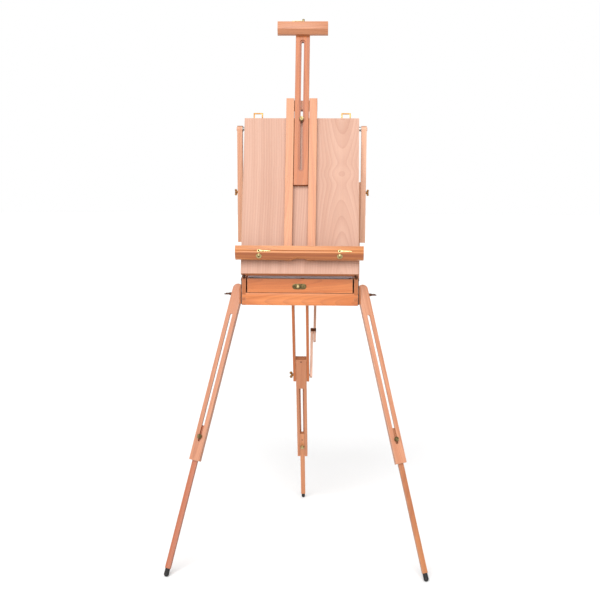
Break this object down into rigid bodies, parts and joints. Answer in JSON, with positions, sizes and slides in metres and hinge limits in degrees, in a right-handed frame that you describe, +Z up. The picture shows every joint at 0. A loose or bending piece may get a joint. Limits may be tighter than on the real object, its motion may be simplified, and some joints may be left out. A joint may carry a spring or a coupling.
{
  "type": "sketch-box artist easel",
  "caption": "Folding wooden artist easel: drawer box on telescopic tripod legs, tilting lid with sliding mast, canvas clamp and tray.",
  "frame": {"origin": "on the floor, under the middle of the standing easel", "axes": "+X right, +Y to the back, away from the painter, +Z up"},
  "size_m": [0.8248, 0.8117, 1.7663],
  "materials": {
    "beech": "satin varnish",
    "plywood": "satin varnish",
    "brass": "polished",
    "steel": "satin",
    "liner": "satin",
    "rubber": "matt",
    "leather": "satin"
  },
  "bodies": {
    "box": {"box_sides": "beech", "box_front_rail": "beech", "box_back_wall": "beech", "box_floor": "plywood", "box_runners": "beech", "palette": "plywood", "leg_wedges": "beech", "pivot_pins": "steel", "rear_leg_brackets": "beech", "brace_bracket": "steel", "box_brass_fittings": "brass", "handle_posts": "brass"},
    "drawer": {"drawer_front": "beech", "drawer_walls": "beech", "drawer_floor": "plywood", "drawer_liner": "liner", "drawer_dividers": "beech", "drawer_latch_plate": "brass"},
    "drawer_latch": {"drawer_latch_knob": "brass"},
    "lid": {"lid_frame": "beech", "lid_panel": "plywood", "guide_bars": "beech", "lid_brass_fittings": "brass"},
    "latch_left": {"lid_latch_left": "brass"},
    "latch_right": {"lid_latch_right": "brass"},
    "mast": {"mast": "beech", "canvas_clamp": "beech"},
    "mast_knob": {"mast_knob": "brass"},
    "clamp_hook": {"clamp_hook": "brass"},
    "tray": {"canvas_tray": "beech", "tray_guide_block": "beech", "tray_disc_nuts": "brass"},
    "tray_hook_left": {"tray_hook_left": "brass"},
    "tray_hook_right": {"tray_hook_right": "brass"},
    "rear_leg": {"rear_leg_slats": "beech"},
    "rear_leg_middle": {"rear_leg_middle": "beech"},
    "rear_leg_lower": {"rear_leg_lower": "beech", "rear_foot": "rubber"},
    "rear_leg_knob": {"rear_leg_knob": "brass"},
    "rear_leg_screw": {"rear_leg_wing_screw": "brass"},
    "brace_lower": {"brace_lower": "beech"},
    "brace_upper": {"brace_upper": "beech"},
    "handle": {"carry_handle": "leather"},
    "strut_lower_left": {"strut_lower_left": "beech"},
    "strut_upper_left": {"strut_upper_left": "beech"},
    "strut_screw_left": {"strut_wing_screw_left": "brass"},
    "front_leg_left": {"front_leg_upper_left": "beech"},
    "front_leg_lower_left": {"front_leg_lower_left": "beech", "front_foot_left": "rubber"},
    "front_leg_knob_left": {"front_leg_knob_left": "brass"},
    "front_leg_screw_left": {"front_leg_wing_screw_left": "brass"},
    "strut_lower_right": {"strut_lower_right": "beech"},
    "strut_upper_right": {"strut_upper_right": "beech"},
    "strut_screw_right": {"strut_wing_screw_right": "brass"},
    "front_leg_right": {"front_leg_upper_right": "beech"},
    "front_leg_lower_right": {"front_leg_lower_right": "beech", "front_foot_right": "rubber"},
    "front_leg_knob_right": {"front_leg_knob_right": "brass"},
    "front_leg_screw_right": {"front_leg_wing_screw_right": "brass"}
  },
  "joints": [
    {"name": "drawer_slide", "type": "slide", "parent": "box", "child": "drawer", "axis": [0, -1, 0], "range_m": [0, 0.3]},
    {"name": "drawer_latch_turn", "type": "hinge", "parent": "drawer", "child": "drawer_latch", "pos_m": [-0.006, -0.1401, 0.8865], "axis": [0, 1, 0], "range_deg": [0, 90]},
    {"name": "lid_tilt", "type": "hinge", "parent": "box", "child": "lid", "pos_m": [0, -0.1433, 0.918], "axis": [1, 0, 0], "range_deg": [-72.5, 12]},
    {"name": "mast_slide", "type": "slide", "parent": "lid", "child": "mast", "axis": [0, 0.3007, 0.9537], "range_m": [-0.21, 0.16]},
    {"name": "mast_knob_turn", "type": "hinge", "parent": "lid", "child": "mast_knob", "pos_m": [0, -0.03785, 1.43103], "axis": [0, -0.9537, 0.3007], "range_deg": [0, 270]},
    {"name": "clamp_hook_turn", "type": "hinge", "parent": "mast", "child": "clamp_hook", "pos_m": [0.002, 0.04403, 1.7549], "axis": [0, 0.3007, 0.9537], "range_deg": [-90, 90]},
    {"name": "tray_slide", "type": "slide", "parent": "lid", "child": "tray", "axis": [0, 0.3007, 0.9537], "range_m": [0, 0.2]},
    {"name": "tray_hook_turn_left", "type": "hinge", "parent": "tray", "child": "tray_hook_left", "pos_m": [-0.129, -0.20929, 1.00801], "axis": [0, -0.9537, 0.3007], "range_deg": [0, 90]},
    {"name": "tray_hook_turn_right", "type": "hinge", "parent": "tray", "child": "tray_hook_right", "pos_m": [0.129, -0.20929, 1.00801], "axis": [0, -0.9537, 0.3007], "range_deg": [0, 90]},
    {"name": "latch_swing_left", "type": "hinge", "parent": "lid", "child": "latch_left", "pos_m": [-0.147, 0.00583, 1.43089], "axis": [1, 0, 0], "range_deg": [-90, 60]},
    {"name": "latch_swing_right", "type": "hinge", "parent": "lid", "child": "latch_right", "pos_m": [0.147, 0.00583, 1.43089], "axis": [1, 0, 0], "range_deg": [-90, 60]},
    {"name": "strut_swing_left", "type": "hinge", "parent": "box", "child": "strut_lower_left", "pos_m": [0, 0.0099, 0.9], "axis": [1, 0, 0], "range_deg": [-87.42, 15.3]},
    {"name": "strut_slide_left", "type": "slide", "parent": "strut_lower_left", "child": "strut_upper_left", "axis": [0, -0.0381, 0.9993], "range_m": [-0.1538, 0.0271]},
    {"name": "strut_screw_turn_left", "type": "hinge", "parent": "strut_lower_left", "child": "strut_screw_left", "pos_m": [-0.198, -0.00115, 1.18979], "axis": [-1, 0, 0], "range_deg": [0, 270]},
    {"name": "front_leg_fold_left", "type": "hinge", "parent": "box", "child": "front_leg_left", "pos_m": [-0.2085, -0.1021, 0.856], "axis": [-0.9872, 0.1592, 0], "range_deg": [-111.1, 0]},
    {"name": "front_leg_slide_left", "type": "slide", "parent": "front_leg_left", "child": "front_leg_lower_left", "axis": [-0.2137, -0.3255, -0.9211], "range_m": [-0.335, 0.01]},
    {"name": "front_leg_knob_turn_left", "type": "hinge", "parent": "front_leg_lower_left", "child": "front_leg_knob_left", "pos_m": [-0.31337, -0.26946, 0.41509], "axis": [-0.1485, -0.9211, 0.36], "range_deg": [0, 270]},
    {"name": "front_leg_screw_turn_left", "type": "hinge", "parent": "box", "child": "front_leg_screw_left", "pos_m": [-0.2085, -0.1021, 0.856], "axis": [-0.9872, 0.1592, 0], "range_deg": [0, 270]},
    {"name": "strut_swing_right", "type": "hinge", "parent": "box", "child": "strut_lower_right", "pos_m": [0, 0.0099, 0.9], "axis": [1, 0, 0], "range_deg": [-87.42, 15.3]},
    {"name": "strut_slide_right", "type": "slide", "parent": "strut_lower_right", "child": "strut_upper_right", "axis": [0, -0.0381, 0.9993], "range_m": [-0.1538, 0.0271]},
    {"name": "strut_screw_turn_right", "type": "hinge", "parent": "strut_lower_right", "child": "strut_screw_right", "pos_m": [0.198, -0.00115, 1.18979], "axis": [1, 0, 0], "range_deg": [0, 270]},
    {"name": "front_leg_fold_right", "type": "hinge", "parent": "box", "child": "front_leg_right", "pos_m": [0.2085, -0.1021, 0.856], "axis": [-0.9872, -0.1592, 0], "range_deg": [-111.1, 0]},
    {"name": "front_leg_slide_right", "type": "slide", "parent": "front_leg_right", "child": "front_leg_lower_right", "axis": [0.2137, -0.3255, -0.9211], "range_m": [-0.335, 0.01]},
    {"name": "front_leg_knob_turn_right", "type": "hinge", "parent": "front_leg_lower_right", "child": "front_leg_knob_right", "pos_m": [0.31337, -0.26946, 0.41509], "axis": [0.1485, -0.9211, 0.36], "range_deg": [0, 270]},
    {"name": "front_leg_screw_turn_right", "type": "hinge", "parent": "box", "child": "front_leg_screw_right", "pos_m": [0.2085, -0.1021, 0.856], "axis": [0.9872, 0.1592, 0], "range_deg": [0, 270]},
    {"name": "rear_leg_fold", "type": "hinge", "parent": "box", "child": "rear_leg", "pos_m": [0, -0.1101, 0.83], "axis": [-1, 0, 0], "range_deg": [-60.5, 0]},
    {"name": "rear_leg_middle_slide", "type": "slide", "parent": "rear_leg", "child": "rear_leg_middle", "axis": [0, 0.4924, -0.8704], "range_m": [-0.23, 0.03]},
    {"name": "rear_leg_lower_slide", "type": "slide", "parent": "rear_leg_middle", "child": "rear_leg_lower", "axis": [0, 0.4924, -0.8704], "range_m": [-0.222, 0.01]},
    {"name": "rear_leg_knob_turn", "type": "hinge", "parent": "rear_leg_lower", "child": "rear_leg_knob", "pos_m": [0, 0.20631, 0.24841], "axis": [0, -0.8704, -0.4924], "range_deg": [0, 270]},
    {"name": "rear_leg_screw_turn", "type": "hinge", "parent": "rear_leg", "child": "rear_leg_screw", "pos_m": [-0.028, 0.06551, 0.54905], "axis": [-1, 0, 0], "range_deg": [0, 270]},
    {"name": "brace_swing", "type": "hinge", "parent": "rear_leg", "child": "brace_lower", "pos_m": [0, 0.06551, 0.54905], "axis": [-1, 0, 0], "range_deg": [-1, 118.16]},
    {"name": "brace_slide", "type": "slide", "parent": "brace_lower", "child": "brace_upper", "axis": [0, 0.5496, 0.8354], "range_m": [-0.3167, 0.002]},
    {"name": "handle_swing", "type": "hinge", "parent": "box", "child": "handle", "pos_m": [0, 0.3979, 0.89], "axis": [1, 0, 0], "range_deg": [0, 80]}
  ],
  "couplings": [
    {"joint": "strut_swing_left", "follows": "lid_tilt", "ratio": 1.192},
    {"joint": "strut_slide_left", "follows": "lid_tilt", "m_per_rad": 0.11994},
    {"joint": "strut_swing_right", "follows": "lid_tilt", "ratio": 1.192},
    {"joint": "strut_slide_right", "follows": "lid_tilt", "m_per_rad": 0.11994},
    {"joint": "brace_swing", "follows": "rear_leg_fold", "ratio": -1.9365},
    {"joint": "brace_slide", "follows": "rear_leg_fold", "m_per_rad": 0.298}
  ]
}
